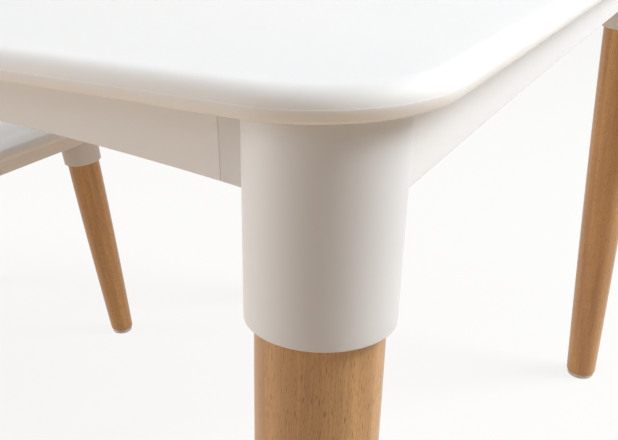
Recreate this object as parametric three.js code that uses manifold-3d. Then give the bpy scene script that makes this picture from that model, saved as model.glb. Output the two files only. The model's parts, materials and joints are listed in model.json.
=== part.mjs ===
// Kids' table with two chairs: moulded top, seats and backrests, and turned beech legs in moulded sockets.
// Millimetres, +Z up. The origin is on the floor under the table's middle; X runs along its long sides.
import * as THREE from "three";
import { mergeVertices } from "three/addons/utils/BufferGeometryUtils.js";
import Module from "manifold-3d";

const wasm = await Module();
wasm.setup();

// Fits
const clearance = 0.3;
const threadClearance = 0.3;
const pegClearance = 0.3;

// The moulded edge that the table top and the seats share
const edgeHeight = 9;
const edgeBandHeight = 3.9;
const edgeRoundReach = 6.5;
const edgeChamfer = 0.5;

// Table top
const tableLength = 600;
const tableWidth = 400;
const tableHeight = 440;
const tableCornerRadius = 43;
const tableSkin = 3;
const ribZoneInset = 60;
const ribWall = 3;
const ribCellsLong = 6;
const ribCellsWide = 4;

// Table aprons: depth and slope of the lower edge are taken at the centre of the table's corner rounding
const apronWall = 3;
const apronDepth = 28.8;
const apronFlange = 14;
const sideApronInset = 15;
const sideApronSlope = 0.016;
const endApronInset = 20.5;
const endApronSlope = 0.105;
const apronPegRadius = 3;
const apronPegHeight = 4;
const sidePegSpacing = 170;
const endPegSpacing = 80;
const wingLength = 5.05;

// Table sockets and legs: insets are from the table's edges to the socket axis under the top
const tableLegInsetX = 32;
const tableLegInsetY = 34.3;
const tableLegSplayX = 3.9;
const tableLegSplayY = 0;
const tableSocketWall = 2.8;
const tableSocketTaper = 0.75;
const tableSocketDrop = 66.6;
const tableLegRadius = 20;
const tableFootRadius = 14;

// Chair seat
const seatWidth = 300;
const seatDepth = 280;
const seatHeight = 260;
const seatCornerRadius = 45;
const seatDishInset = 16;
const seatDishReach = 40;
const seatDishDepth = 5.5;
const seatDishCornerRadius = 30;
const seatSkirtInset = 16;
const seatSkirtWall = 3;
const seatSkirtDepth = 18;
const seatRibWall = 3;
const seatRibSpacing = 52;
const seatRibRise = 6;

// Chair backrest: heights are above the seat's rim, before the backrest leans
const backSideInset = 15;
const backThickness = 8;
const backRise = 240;
const backGap = 78;
const backCornerRadius = 40;
const backBendRadius = 420;
const backLean = 9;
const backInset = 18;
const tangWidth = 30;
const tangFillet = 14;
const tangSleeveWall = 3;
const handSlotWidth = 92;
const handSlotHeight = 26;
const handSlotDrop = 24;

// Chair sockets and legs
const chairLegInset = 34;
const chairLegSplay = 3.9;
const chairSocketWall = 2.5;
const chairSocketTaper = 0.7;
const chairSocketDrop = 42;
const chairLegRadius = 16;
const chairFootRadius = 11.5;

// Pieces common to every leg
const crownThickness = 8;
const legTaperPower = 1.5;
const legChamfer = 1;
const boltRadius = 4;
const boltTipRadius = 2.5;
const boltPoint = 6;
const boltInLeg = 36;
const tableBoltRise = 5;
const chairBoltRise = 2.4;
const footHeight = 4;
const footInset = 1;
const footChamfer = 0.8;

// Where the chairs stand when they are pulled out
const chairGap = 100;

// Cutting tools: how far blocks spread about a piece, and how far tools run past a face that they open
const spread = 400;
const overrun = 10;

// How far joined shapes sink into each other
const weld = 1;

// Facets
const cornerSteps = 6;
const roundSides = 20;
const smallSides = 8;
const footSides = 12;
const roundoverSteps = 3;
const dishSteps = 4;
const archSteps = 12;
const wingSteps = 3;
const bendSteps = 10;
const taperSteps = 4;

const quarter = Math.PI / 2;
const degree = Math.PI / 180;

// Sizes that follow from the ones above
const backWidth = seatWidth - 2 * backSideInset;
const backTop = seatHeight + backRise;
const backBottom = seatHeight + backGap;
const tangCentre = backWidth / 2 - backCornerRadius - tangFillet - tangWidth / 2;
const tangLow = seatHeight - edgeHeight - seatSkirtDepth;

const whitePlastic = new THREE.MeshStandardMaterial({ color: 0xf2f1ef, roughness: 0.45, metalness: 0 });
const beech = new THREE.MeshStandardMaterial({ color: 0xc79f73, roughness: 0.6, metalness: 0 });
const zincSteel = new THREE.MeshStandardMaterial({ color: 0xb9bcc0, roughness: 0.35, metalness: 1 });
const footPlastic = new THREE.MeshStandardMaterial({ color: 0xe6e4e0, roughness: 0.7, metalness: 0 });

/** A three.js geometry as a solid that can be cut and joined. */
function solidOf(geometry) {
  const bare = geometry.index ? geometry.toNonIndexed() : geometry.clone();
  bare.deleteAttribute("normal");
  bare.deleteAttribute("uv");
  const merged = mergeVertices(bare, 1e-4);
  const vertProperties = merged.attributes.position.array;
  const triVerts = new Uint32Array(merged.index.array);
  return new wasm.Manifold(new wasm.Mesh({ numProp: 3, vertProperties, triVerts }));
}

/** The way back from a solid to a geometry. */
function geometryOf(solid) {
  const mesh = solid.getMesh();
  const geometry = new THREE.BufferGeometry();
  geometry.setAttribute("position", new THREE.BufferAttribute(mesh.vertProperties, 3));
  geometry.setIndex(new THREE.BufferAttribute(mesh.triVerts, 1));
  geometry.computeVertexNormals();
  return geometry;
}

/** A block between two corners. */
function block(low, high) {
  const size = high.map((value, axis) => value - low[axis]);
  const middle = high.map((value, axis) => (value + low[axis]) / 2);
  return new THREE.BoxGeometry(...size).translate(...middle);
}

/** A piece turned about Z. Its profile lists [radius, height] pairs, up the outside from axis to axis. */
function turned(profile, sides) {
  const points = profile.map(([radius, height]) => new THREE.Vector2(radius, height));
  return new THREE.LatheGeometry(points, sides).rotateX(quarter);
}

/** An upright rod about Z between two heights. */
function rod(radius, low, high, sides) {
  return turned([[0, low], [radius, low], [radius, high], [0, high]], sides);
}

/** The outline of a rectangle with rounded corners, anticlockwise about the origin. */
function roundedOutline(length, width, radius) {
  const x = length / 2 - radius;
  const y = width / 2 - radius;
  const shape = new THREE.Shape();
  shape.absarc(x, y, radius, 0, quarter);
  shape.absarc(-x, y, radius, quarter, 2 * quarter);
  shape.absarc(-x, -y, radius, 2 * quarter, 3 * quarter);
  shape.absarc(x, -y, radius, 3 * quarter, 4 * quarter);
  return shape.getPoints(cornerSteps / 2);
}

/** One level of a loft: a rounded outline drawn in by an inset, at a height. */
function level(length, width, radius, inset, z) {
  const points = roundedOutline(length - 2 * inset, width - 2 * inset, radius - inset);
  return { points, z };
}

/** A closed solid through stacked outlines of equal point counts, capped at the first and the last. */
function loft(levels) {
  const count = levels[0].points.length;
  const positions = levels.flatMap(({ points, z }) => points.flatMap((point) => [point.x, point.y, z]));
  const index = [];
  for (let start = 0; start < (levels.length - 1) * count; start += count) {
    for (let i = 0; i < count; i += 1) {
      const here = start + i;
      const next = start + ((i + 1) % count);
      index.push(here, next, next + count, here, next + count, here + count);
    }
  }
  const top = (levels.length - 1) * count;
  for (let i = 1; i < count - 1; i += 1) {
    index.push(0, i + 1, i);
    index.push(top, top + i, top + i + 1);
  }
  const geometry = new THREE.BufferGeometry();
  geometry.setAttribute("position", new THREE.Float32BufferAttribute(positions, 3));
  geometry.setIndex(index);
  return geometry;
}

/** The levels of the shared edge: a chamfered foot, an upright band and a quarter-ellipse roundover. */
function edgeLevels(length, width, radius, underside) {
  const levels = [
    level(length, width, radius, edgeChamfer, underside),
    level(length, width, radius, 0, underside + edgeChamfer),
  ];
  for (let step = 0; step <= roundoverSteps; step += 1) {
    const turn = (step / roundoverSteps) * quarter;
    const inset = edgeRoundReach * (1 - Math.cos(turn));
    const z = underside + edgeBandHeight + (edgeHeight - edgeBandHeight) * Math.sin(turn);
    levels.push(level(length, width, radius, inset, z));
  }
  return levels;
}

/** The frame of a leg: its origin on the axis under the top, and -Z down the leg. Splays are in degrees. */
function legFrame(x, y, z, splayX, splayY) {
  const down = new THREE.Vector3(Math.tan(splayX * degree), Math.tan(splayY * degree), -1).normalize();
  const turn = new THREE.Quaternion().setFromUnitVectors(new THREE.Vector3(0, 0, -1), down);
  return new THREE.Matrix4().compose(new THREE.Vector3(x, y, z), turn, new THREE.Vector3(1, 1, 1));
}

/** A leg's sizes with what follows from them: its socket's radii, its frame and the cosine of its splay. */
function legOf(sizes) {
  const rimRadius = sizes.radius + clearance + sizes.socketWall;
  const frame = legFrame(sizes.x, sizes.y, sizes.z, sizes.splayX, sizes.splayY);
  return {
    ...sizes,
    frame,
    cosine: frame.elements[10],
    socketRimRadius: rimRadius,
    socketTopRadius: rimRadius + sizes.socketTaper,
  };
}

/** A named mesh placed by a matrix. */
function piece(name, solidOrGeometry, material, matrix = new THREE.Matrix4()) {
  const geometry = solidOrGeometry.isBufferGeometry ? solidOrGeometry : geometryOf(solidOrGeometry);
  const mesh = new THREE.Mesh(geometry, material);
  mesh.name = name;
  mesh.applyMatrix4(matrix);
  return mesh;
}

/** The outside of a leg socket, from its rim to well above the underside that it meets. */
function socketEnvelope(leg, grow) {
  const above = overrun;
  const taper = (leg.socketTopRadius - leg.socketRimRadius) / leg.socketDrop;
  const topRadius = leg.socketTopRadius + taper * above + grow;
  const rimRadius = leg.socketRimRadius + grow;
  const low = -leg.socketDrop - grow;
  return turned([[0, low], [rimRadius, low], [topRadius, above], [0, above]], roundSides);
}

/** A leg socket: a tapered cup, open below, with a crown that the leg bolt passes through. */
function socketSolid(leg, wing) {
  const upper = block([-spread, -spread, leg.z - clearance], [spread, spread, leg.z + spread]);
  upper.translate(leg.x, leg.y, 0);
  let outer = solidOf(socketEnvelope(leg, 0).applyMatrix4(leg.frame));
  if (wing) {
    outer = outer.add(solidOf(wing));
  }
  const bore = rod(leg.radius + clearance, -leg.socketDrop - overrun, -crownThickness, roundSides);
  const boltHole = rod(boltRadius + threadClearance, -crownThickness - overrun, overrun, smallSides);
  return outer
    .subtract(solidOf(upper))
    .subtract(solidOf(bore.applyMatrix4(leg.frame)))
    .subtract(solidOf(boltHole.applyMatrix4(leg.frame)));
}

/** A turned leg: parallel in its socket, then tapering faster towards the foot, and cut level there. */
function legSolid(leg) {
  const top = -crownThickness - clearance;
  const axisLength = leg.z / leg.cosine;
  const profile = [[0, -axisLength - overrun], [leg.footRadius, -axisLength - overrun]];
  for (let step = taperSteps; step >= 0; step -= 1) {
    const share = step / taperSteps;
    const radius = leg.radius - (leg.radius - leg.footRadius) * share ** legTaperPower;
    profile.push([radius, -leg.socketDrop - (axisLength - leg.socketDrop) * share]);
  }
  profile.push([leg.radius, top - legChamfer], [leg.radius - legChamfer, top], [0, top]);
  const floor = block([-spread, -spread, -spread], [spread, spread, footHeight + clearance]);
  floor.translate(leg.x, leg.y, 0);
  const holeEnd = top - boltInLeg - clearance;
  const boltHole = rod(boltRadius + threadClearance, holeEnd, top + overrun, smallSides);
  return solidOf(turned(profile, roundSides).applyMatrix4(leg.frame))
    .subtract(solidOf(floor))
    .subtract(solidOf(boltHole.applyMatrix4(leg.frame)));
}

/** The stud that draws a leg up into its socket and the moulding above. */
function boltGeometry(leg) {
  const low = -crownThickness - clearance - boltInLeg;
  const point = [[0, low], [boltTipRadius, low], [boltRadius, low + boltPoint]];
  return turned([...point, [boltRadius, leg.boltRise], [0, leg.boltRise]], smallSides);
}

/** The blind hole for a leg bolt in the moulding above a socket. */
function boltPocket(leg) {
  const hole = rod(boltRadius + threadClearance, -overrun, leg.boltRise + clearance, smallSides);
  return solidOf(hole.applyMatrix4(leg.frame));
}

/** A leg with its socket, bolt and foot, for the corner where x and y are positive. */
function legPieces(leg, wing) {
  const slant = new THREE.Vector3(0, 0, -(leg.z - footHeight) / leg.cosine).applyMatrix4(leg.frame);
  const footRadius = leg.footRadius - footInset;
  const sole = [[0, 0], [footRadius - footChamfer, 0], [footRadius, footChamfer]];
  const foot = turned([...sole, [footRadius, footHeight], [0, footHeight]], footSides);
  return [
    { part: "socket", geometry: geometryOf(socketSolid(leg, wing)), material: whitePlastic },
    { part: "leg", geometry: geometryOf(legSolid(leg)), material: beech },
    { part: "leg_bolt", geometry: boltGeometry(leg), material: zincSteel, matrix: leg.frame },
    {
      part: "foot",
      geometry: foot,
      material: footPlastic,
      matrix: new THREE.Matrix4().makeTranslation(slant.x, slant.y, 0),
    },
  ];
}

/** The four corners, each the first one mirrored into its own quarter. */
const corners = [
  { x: 1, y: 1 },
  { x: -1, y: 1 },
  { x: -1, y: -1 },
  { x: 1, y: -1 },
];

/** The corners' names in that order, for the table and for a chair, which faces +Y. */
const tableCornerNames = ["back_right", "back_left", "front_left", "front_right"];
const chairCornerNames = ["front_right", "front_left", "back_left", "back_right"];

/** Adds the four mirrored copies of a corner's pieces to a group. */
function addCorners(group, prefix, names, pieces) {
  corners.forEach((corner, i) => {
    const mirrored = new THREE.Group();
    mirrored.scale.set(corner.x, corner.y, 1);
    for (const { part, geometry, material, matrix } of pieces) {
      mirrored.add(piece(`${prefix}_${part}_${names[i]}`, geometry, material, matrix));
    }
    group.add(mirrored);
  });
}

/** A solid cut by copies of a tool that is mirrored into the four corners. */
function cutAtCorners(solid, toolSolid) {
  let result = solid;
  for (const corner of corners) {
    const mirrored = new THREE.Matrix4().makeScale(corner.x, corner.y, 1);
    result = result.subtract(toolSolid.transform(mirrored.elements));
  }
  return result;
}

/** How far an apron's lower edge hangs down, at a distance from the apron's middle: a shallow parabola. */
function archDepth(distance, halfSpan, endSlope) {
  const rise = (endSlope * halfSpan) / 2;
  return apronDepth - rise * (1 - (distance / halfSpan) ** 2);
}

/** An upright slab of apron between two distances from the middle, along X. Its outer face is y = 0. */
function apronSlab(from, to, halfSpan, endSlope, underside, steps) {
  const shape = new THREE.Shape();
  shape.moveTo(to, underside - clearance);
  shape.lineTo(from, underside - clearance);
  for (let step = 0; step <= steps; step += 1) {
    const distance = from + ((to - from) * step) / steps;
    shape.lineTo(distance, underside - archDepth(distance, halfSpan, endSlope));
  }
  return new THREE.ExtrudeGeometry(shape, { depth: apronWall, bevelEnabled: false }).rotateX(quarter);
}

/** Where the pegs on an apron's flange stand, along the apron. */
function pegPlaces(spacing, withMiddle) {
  return withMiddle ? [-spacing, 0, spacing] : [-spacing, spacing];
}

/** An apron with its flange and locating pegs, along X, with its outer face on y = 0. */
function apronSolid(halfLength, halfSpan, endSlope, underside, pegs) {
  const top = underside - clearance;
  const flange = block([-halfLength, -apronFlange, top - apronWall], [halfLength, -apronWall / 2, top]);
  let solid = solidOf(apronSlab(-halfLength, halfLength, halfSpan, endSlope, underside, archSteps));
  solid = solid.add(solidOf(flange));
  for (const place of pegs) {
    const peg = rod(apronPegRadius, top - weld, top + clearance + apronPegHeight, smallSides);
    solid = solid.add(solidOf(peg.translate(place, -(apronFlange + apronWall) / 2, 0)));
  }
  return solid;
}

/** The matrix that turns an apron built along X to face outwards, at a distance from the middle. */
function apronMatrix(turn, distance) {
  const outwards = new THREE.Matrix4().makeTranslation(0, distance, 0);
  return new THREE.Matrix4().makeRotationZ(turn).multiply(outwards);
}

/** The table: top, four aprons, and four legs in their sockets. */
function makeTable() {
  const table = new THREE.Group();
  const underside = tableHeight - edgeHeight;
  const leg = legOf({
    x: tableLength / 2 - tableLegInsetX,
    y: tableWidth / 2 - tableLegInsetY,
    z: underside,
    splayX: tableLegSplayX,
    splayY: tableLegSplayY,
    radius: tableLegRadius,
    footRadius: tableFootRadius,
    socketWall: tableSocketWall,
    socketTaper: tableSocketTaper,
    socketDrop: tableSocketDrop,
    boltRise: tableBoltRise,
  });

  const sideSpan = tableLength / 2 - tableCornerRadius;
  const endSpan = tableWidth / 2 - tableCornerRadius;
  const sideDistance = tableWidth / 2 - sideApronInset;
  const endDistance = tableLength / 2 - endApronInset;
  const wingEnd = leg.y - leg.socketTopRadius - wingLength;

  const toSocket = solidOf(socketEnvelope(leg, clearance).applyMatrix4(leg.frame));
  const toSide = new THREE.Matrix4().makeTranslation(0, -sideDistance, 0);
  const socketBySide = toSocket.transform(toSide.elements);
  const mirrorX = new THREE.Matrix4().makeScale(-1, 1, 1);
  const sidePegs = pegPlaces(sidePegSpacing, true);
  const endPegs = pegPlaces(endPegSpacing, false);
  const sideApron = apronSolid(leg.x, sideSpan, sideApronSlope, underside, sidePegs)
    .subtract(socketBySide)
    .subtract(socketBySide.transform(mirrorX.elements));
  const endApron = apronSolid(wingEnd - clearance, endSpan, endApronSlope, underside, endPegs);
  const sideGeometry = geometryOf(sideApron);
  const endGeometry = geometryOf(endApron);
  const aprons = [
    { name: "back", geometry: sideGeometry, matrix: apronMatrix(0, sideDistance) },
    { name: "front", geometry: sideGeometry, matrix: apronMatrix(2 * quarter, sideDistance) },
    { name: "left", geometry: endGeometry, matrix: apronMatrix(quarter, endDistance) },
    { name: "right", geometry: endGeometry, matrix: apronMatrix(-quarter, endDistance) },
  ];
  for (const { name, geometry, matrix } of aprons) {
    table.add(piece(`table_apron_${name}`, geometry, whitePlastic, matrix));
  }

  const wing = apronSlab(-leg.y, -wingEnd, endSpan, endApronSlope, underside, wingSteps);
  wing.applyMatrix4(apronMatrix(-quarter, endDistance));
  addCorners(table, "table", tableCornerNames, legPieces(leg, wing));

  let top = solidOf(loft(edgeLevels(tableLength, tableWidth, tableCornerRadius, underside)));
  const cellLength = (tableLength - 2 * ribZoneInset + ribWall) / ribCellsLong;
  const cellWidth = (tableWidth - 2 * ribZoneInset + ribWall) / ribCellsWide;
  for (let i = 0; i < ribCellsLong; i += 1) {
    for (let j = 0; j < ribCellsWide; j += 1) {
      const x = ribZoneInset - tableLength / 2 + i * cellLength;
      const y = ribZoneInset - tableWidth / 2 + j * cellWidth;
      const low = [x, y, underside - overrun];
      const high = [x + cellLength - ribWall, y + cellWidth - ribWall, tableHeight - tableSkin];
      top = top.subtract(solidOf(block(low, high)));
    }
  }
  top = cutAtCorners(top, boltPocket(leg));
  const pegTop = underside + apronPegHeight + pegClearance;
  const pegHole = rod(apronPegRadius + pegClearance, underside - overrun, pegTop, smallSides);
  const pegRows = aprons.map(({ matrix }, i) => ({ matrix, pegs: i < 2 ? sidePegs : endPegs }));
  for (const { matrix, pegs } of pegRows) {
    for (const place of pegs) {
      const hole = pegHole.clone().translate(place, -(apronFlange + apronWall) / 2, 0);
      top = top.subtract(solidOf(hole.applyMatrix4(matrix)));
    }
  }
  table.add(piece("table_top", top, whitePlastic));
  return table;
}

/** The seat's levels: the shared edge, a flat rim and a shallow dish with a flat bottom. */
function seatLevels(underside) {
  const levels = edgeLevels(seatWidth, seatDepth, seatCornerRadius, underside);
  const dishWidth = seatWidth - 2 * seatDishInset;
  const dishDepth = seatDepth - 2 * seatDishInset;
  for (let step = 0; step <= dishSteps; step += 1) {
    const share = step / dishSteps;
    const drop = (seatDishDepth * (1 - Math.cos(share * 2 * quarter))) / 2;
    const reach = seatDishReach * share;
    const points = roundedOutline(dishWidth - 2 * reach, dishDepth - 2 * reach, seatDishCornerRadius);
    levels.push({ points, z: underside + edgeHeight - drop });
  }
  return levels;
}

/** The slab that a backrest is cut from: bent in plan, between two heights, grown on its faces. */
function bentSlab(low, high, grow) {
  const centre = backInset - seatDepth / 2 + backBendRadius;
  const halfAngle = Math.asin((backWidth / 2 + overrun) / backBendRadius);
  const outer = backBendRadius + grow;
  const inner = backBendRadius - backThickness - grow;
  const shape = new THREE.Shape();
  shape.absarc(0, centre, outer, -quarter - halfAngle, -quarter + halfAngle, false);
  shape.absarc(0, centre, inner, -quarter + halfAngle, -quarter - halfAngle, true);
  const options = { depth: high - low, bevelEnabled: false, curveSegments: bendSteps };
  return solidOf(new THREE.ExtrudeGeometry(shape, options).translate(0, 0, low));
}

/** The backrest leans about the line where its rear face crosses the seat's top. */
function leaned(solid) {
  const lean = new THREE.Matrix4()
    .makeTranslation(0, backInset - seatDepth / 2, seatHeight)
    .multiply(new THREE.Matrix4().makeRotationX(backLean * degree))
    .multiply(new THREE.Matrix4().makeTranslation(0, seatDepth / 2 - backInset, -seatHeight));
  return solid.transform(lean.elements);
}

/** The two tangs alone, grown on every side, down to a height. */
function tangsSolid(grow, low, high) {
  const half = tangWidth / 2 + grow;
  const right = solidOf(block([tangCentre - half, -spread, low], [tangCentre + half, 0, high]));
  const left = solidOf(block([-tangCentre - half, -spread, low], [-tangCentre + half, 0, high]));
  return leaned(bentSlab(low - overrun, high + overrun, grow).intersect(right.add(left)));
}

/** The backrest seen from the front: a rounded panel with a hand slot, standing on two tangs. */
function backOutline() {
  const half = backWidth / 2;
  const inner = tangCentre - tangWidth / 2;
  const outer = tangCentre + tangWidth / 2;
  const flat = half - backCornerRadius;
  const lowCentre = backBottom + backCornerRadius;
  const highCentre = backTop - backCornerRadius;
  const shape = new THREE.Shape();
  shape.moveTo(inner, tangLow);
  shape.lineTo(outer, tangLow);
  shape.lineTo(outer, backBottom - tangFillet);
  shape.quadraticCurveTo(outer, backBottom, outer + tangFillet, backBottom);
  shape.absarc(flat, lowCentre, backCornerRadius, -quarter, 0);
  shape.absarc(flat, highCentre, backCornerRadius, 0, quarter);
  shape.absarc(-flat, highCentre, backCornerRadius, quarter, 2 * quarter);
  shape.absarc(-flat, lowCentre, backCornerRadius, 2 * quarter, 3 * quarter);
  shape.quadraticCurveTo(-outer, backBottom, -outer, backBottom - tangFillet);
  shape.lineTo(-outer, tangLow);
  shape.lineTo(-inner, tangLow);
  shape.lineTo(-inner, backBottom - tangFillet);
  shape.quadraticCurveTo(-inner, backBottom, -inner + tangFillet, backBottom);
  shape.lineTo(inner - tangFillet, backBottom);
  shape.quadraticCurveTo(inner, backBottom, inner, backBottom - tangFillet);
  const end = handSlotHeight / 2;
  const slotX = handSlotWidth / 2 - end;
  const slotZ = backTop - handSlotDrop - end;
  const slot = new THREE.Path();
  slot.absarc(slotX, slotZ, end, -quarter, quarter);
  slot.absarc(-slotX, slotZ, end, quarter, 3 * quarter);
  shape.holes.push(slot);
  return shape;
}

/** The backrest: its outline cut through the bent slab. */
function backrestSolid() {
  const options = { depth: spread, bevelEnabled: false, curveSegments: cornerSteps / 2 };
  const cutter = new THREE.ExtrudeGeometry(backOutline(), options).rotateX(quarter);
  const slab = bentSlab(tangLow - overrun, backTop + overrun, 0);
  return leaned(slab.intersect(solidOf(cutter)));
}

/** The seat: a dished plate with a skirt, ribs and two sleeves that take the backrest's tangs. */
function seatSolid(leg) {
  const underside = seatHeight - edgeHeight;
  const foot = underside - seatSkirtDepth;
  const skirtLevel = (inset, z) => level(seatWidth, seatDepth, seatCornerRadius, inset, z);
  const skirtInside = seatSkirtInset + seatSkirtWall;
  const outside = [skirtLevel(seatSkirtInset, foot), skirtLevel(seatSkirtInset, underside + weld)];
  const inside = [skirtLevel(skirtInside, foot - overrun), skirtLevel(skirtInside, underside)];
  const skirt = solidOf(loft(outside));
  const hollow = solidOf(loft(inside));
  let under = skirt.subtract(hollow);
  const reachX = seatWidth / 2 - seatSkirtInset - weld;
  const reachY = seatDepth / 2 - seatSkirtInset - weld;
  const ribLow = foot + seatRibRise;
  const ribHigh = underside + weld;
  const half = seatRibWall / 2;
  for (const place of [-seatRibSpacing, seatRibSpacing]) {
    const along = block([-reachX, place - half, ribLow], [reachX, place + half, ribHigh]);
    const across = block([place - half, -reachY, ribLow], [place + half, reachY, ribHigh]);
    under = under.add(solidOf(along)).add(solidOf(across));
  }
  under = under.add(tangsSolid(clearance + tangSleeveWall, foot, underside + weld));
  const plate = solidOf(loft(seatLevels(underside)));
  const tangHole = tangsSolid(clearance, foot - overrun, seatHeight + overrun);
  const toSocket = solidOf(socketEnvelope(leg, clearance).applyMatrix4(leg.frame));
  const plateCut = plate.subtract(tangHole);
  const underCut = cutAtCorners(under.subtract(tangHole), toSocket);
  return cutAtCorners(plateCut.add(underCut), boltPocket(leg));
}

/** A chair about the floor point under its seat, facing +Y. */
function makeChair(prefix) {
  const chair = new THREE.Group();
  const leg = legOf({
    x: seatWidth / 2 - chairLegInset,
    y: seatDepth / 2 - chairLegInset,
    z: seatHeight - edgeHeight,
    splayX: chairLegSplay,
    splayY: chairLegSplay,
    radius: chairLegRadius,
    footRadius: chairFootRadius,
    socketWall: chairSocketWall,
    socketTaper: chairSocketTaper,
    socketDrop: chairSocketDrop,
    boltRise: chairBoltRise,
  });
  chair.add(piece(`${prefix}_seat`, seatSolid(leg), whitePlastic));
  chair.add(piece(`${prefix}_backrest`, backrestSolid(), whitePlastic));
  addCorners(chair, prefix, chairCornerNames, legPieces(leg));
  return chair;
}

const group = new THREE.Group();
group.add(makeTable());

const chairDistance = tableWidth / 2 + chairGap + seatDepth / 2;
const frontChair = makeChair("front_chair");
frontChair.position.set(0, -chairDistance, 0);
group.add(frontChair);

const backChair = makeChair("back_chair");
backChair.position.set(0, chairDistance, 0);
backChair.rotation.z = 2 * quarter;
group.add(backChair);

export default group;
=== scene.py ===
import json
import math

import bmesh
import bpy
import numpy as np
from mathutils import Matrix, Vector, geometry

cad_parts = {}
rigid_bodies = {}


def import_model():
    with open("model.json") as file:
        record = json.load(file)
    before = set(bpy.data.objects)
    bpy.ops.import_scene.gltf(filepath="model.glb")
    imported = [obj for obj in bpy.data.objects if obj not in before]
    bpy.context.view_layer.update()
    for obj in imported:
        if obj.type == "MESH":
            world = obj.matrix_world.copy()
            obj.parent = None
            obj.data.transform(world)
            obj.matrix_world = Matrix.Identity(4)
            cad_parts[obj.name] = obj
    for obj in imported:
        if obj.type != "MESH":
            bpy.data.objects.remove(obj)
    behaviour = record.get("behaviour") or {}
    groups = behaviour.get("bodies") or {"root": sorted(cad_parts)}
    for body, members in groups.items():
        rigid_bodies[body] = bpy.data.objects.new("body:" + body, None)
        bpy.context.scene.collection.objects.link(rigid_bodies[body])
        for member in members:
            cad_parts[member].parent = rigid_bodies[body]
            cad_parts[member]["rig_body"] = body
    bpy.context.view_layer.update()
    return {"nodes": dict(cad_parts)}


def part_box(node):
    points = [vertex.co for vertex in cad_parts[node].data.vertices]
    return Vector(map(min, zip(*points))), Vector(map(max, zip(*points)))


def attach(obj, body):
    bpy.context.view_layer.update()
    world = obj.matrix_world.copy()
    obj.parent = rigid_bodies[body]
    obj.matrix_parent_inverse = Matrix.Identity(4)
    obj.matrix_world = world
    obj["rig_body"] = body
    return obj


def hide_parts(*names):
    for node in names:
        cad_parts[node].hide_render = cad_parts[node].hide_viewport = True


bl_info = {
    "name": "Kids table and chairs",
    "version": (1, 0, 0),
    "blender": (4, 5, 0),
    "location": "3D View > Sidebar > Kids Set",
    "description": "Builds the looks of a kids' table and two chairs around the packed frame",
    "category": "Add Mesh",
}

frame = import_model()

GROUPS = ("table", "front_chair", "back_chair")
CHAIRS = ("front_chair", "back_chair")
CORNERS = ("front_left", "front_right", "back_left", "back_right")
MERGE_DISTANCE = 2e-6
CREASE_ANGLE = math.radians(38)
GOLDEN_ANGLE = math.radians(137.5)
WALL_ROUNDING = 0.0009
SUNK = 0.001
FLAT_BORDER = 0.0003
LEAD_IN = 0.0006
GLIDE_EASE = 0.00002
LEGS = tuple((group, corner) for group in GROUPS for corner in CORNERS)
KEY_LIGHT = {
    "bearing": 306,
    "elevation": 39.5,
    "distance": 2.6,
    "size": 1.25,
    "tint": (0.875, 0.945, 1.0),
}
FILL_LIGHT = {
    "bearing": 111,
    "elevation": 11,
    "distance": 2.6,
    "size": 1.45,
    "tint": (0.98, 0.985, 1.0),
}


# ---------------------------------------------------------------- sizes and colours


def length(name, description, default):
    """A length property in metres."""
    return bpy.props.FloatProperty(
        name=name, description=description, default=default, min=0, precision=5, unit="LENGTH"
    )


def colour(name, description, default):
    """A colour property in linear light."""
    return bpy.props.FloatVectorProperty(
        name=name, description=description, default=default, size=3, min=0, max=1, subtype="COLOR"
    )


def factor(name, description, default, most=1.0):
    """A plain number from nought to most."""
    return bpy.props.FloatProperty(
        name=name, description=description, default=default, min=0, max=most, precision=4
    )


def angle(name, description, degrees):
    """An angle property, given in degrees."""
    return bpy.props.FloatProperty(
        name=name, description=description, default=math.radians(degrees), subtype="ANGLE"
    )


class EdgeSizes(bpy.types.PropertyGroup):
    """The moulded edge that the table top and the seats share."""

    height: length("Height", "From the lip's underside to the top face", 0.009)
    band_height: length("Band height", "From the lip's underside to the parting ledge", 0.0039)
    round_reach: length("Roundover reach", "How far the upper roundover reaches inwards", 0.0068)
    ledge: length("Parting ledge", "How far the lower band stands proud of the roundover", 0.0002)
    foot_round: length("Lower rounding", "Radius of the lip's lower outer edge", 0.0011)
    crease_tilt: angle("Crease tilt", "Where on its ellipse the roundover starts", 18)
    undercut: length("Undercut", "How far the band's lower end lies behind its upper end", 0.0004)


class TableSizes(bpy.types.PropertyGroup):
    """The table top and its aprons."""

    corner_radius: length("Corner radius", "Plan radius of the top's corners", 0.043)
    skin: length("Skin", "Thickness of the top over the rib cells", 0.003)
    rib_zone_inset: length("Rib zone inset", "From the edge to the first rib cell", 0.060)
    rib_wall: length("Rib wall", "Thickness of the ribs", 0.003)
    apron_wall: length("Apron wall", "Thickness of the aprons", 0.003)
    apron_depth: length("Apron depth", "How far the aprons hang down at the corners", 0.0288)
    apron_flange: length("Apron flange", "How far the aprons' upper flange reaches inwards", 0.014)
    side_inset: length("Side inset", "From the long edges to the side aprons", 0.015)
    end_inset: length("End inset", "From the short edges to the end aprons", 0.0205)
    side_slope: factor("Side slope", "Slope of the side aprons' lower edge at its ends", 0.016)
    end_slope: factor("End slope", "Slope of the end aprons' lower edge at its ends", 0.105)
    wing_length: length("Wing length", "How far a socket's wing reaches along the end", 0.00505)
    inset_x: length("Socket inset along X", "From the short edge to a socket's axis", 0.032)
    inset_y: length("Socket inset along Y", "From the long edge to a socket's axis", 0.0343)


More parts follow.
